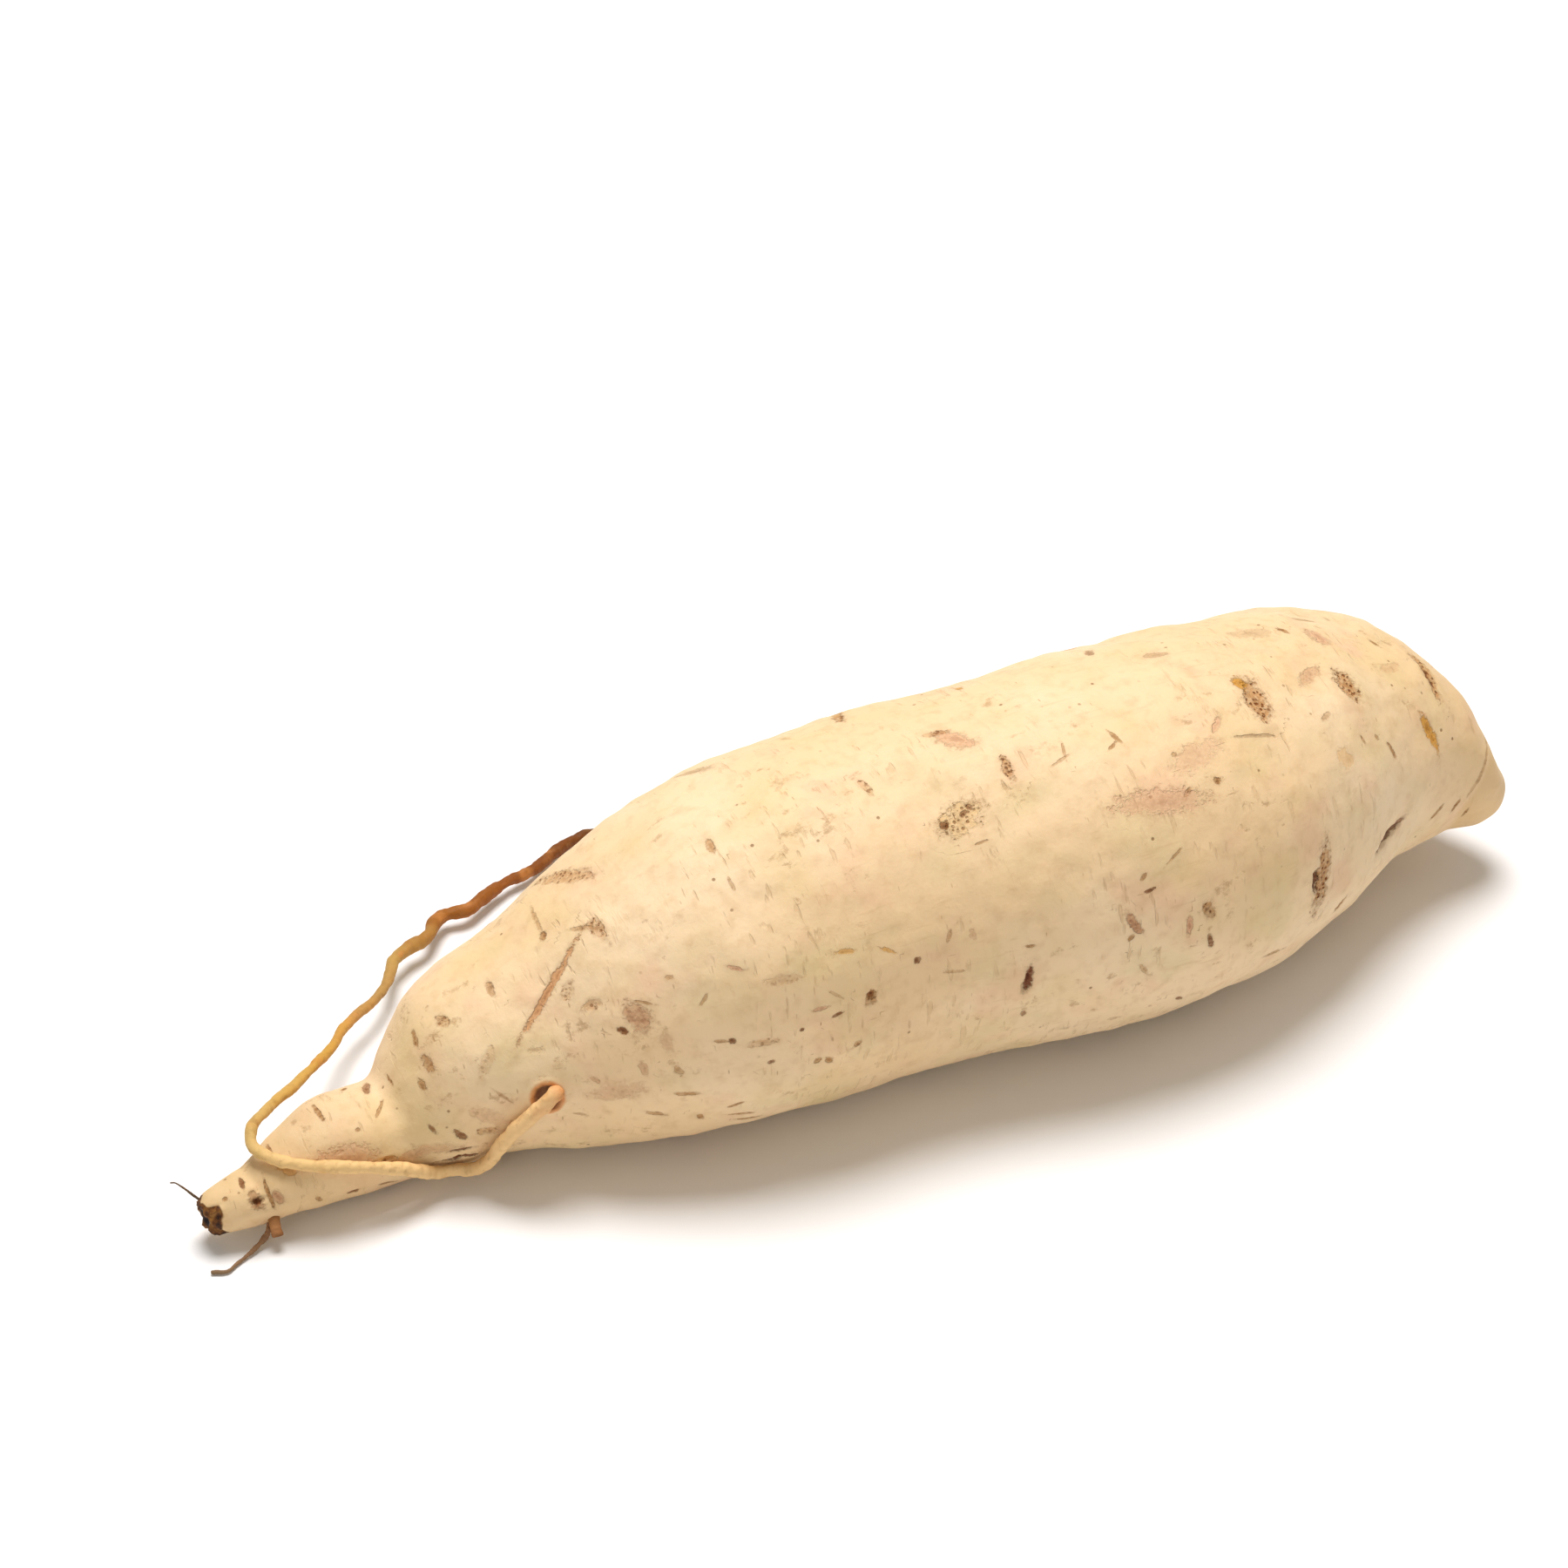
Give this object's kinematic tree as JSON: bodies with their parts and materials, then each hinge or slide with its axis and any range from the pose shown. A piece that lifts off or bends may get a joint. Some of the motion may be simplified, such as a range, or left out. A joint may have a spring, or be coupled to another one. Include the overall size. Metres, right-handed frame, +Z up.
{
  "type": "sweet potato",
  "caption": "White-skinned sweet potato lying on its belly: a long tuber with a narrow broken neck, a blunt beaked nose and a thin side root that loops over the neck.",
  "frame": {"origin": "middle of the flat of the belly that the tuber rests on, in the plane of the table", "axes": "+X along the tuber from the broken end of the neck to the nose, +Z up from the table, +Y across the tuber towards the free length of the side root"},
  "size_m": [0.2324, 0.1014, 0.0572],
  "materials": {
    "tuber_skin": "cream skin of a tuber, slightly waxy, with brown corky scars",
    "side_root_skin": "ochre skin of a thin root, matte",
    "dry_rootlet": "dry brown rootlet, matte",
    "broken_rootlet": "broken end of a rootlet, fibrous and matte",
    "dark_hair": "wiry dark root hair, matte"
  },
  "bodies": {
    "root": {"tuber": "tuber_skin", "side_root": "side_root_skin", "rootlet": "dry_rootlet", "root_stub": "broken_rootlet", "neck_hair": "dark_hair"}
  },
  "joints": []
}
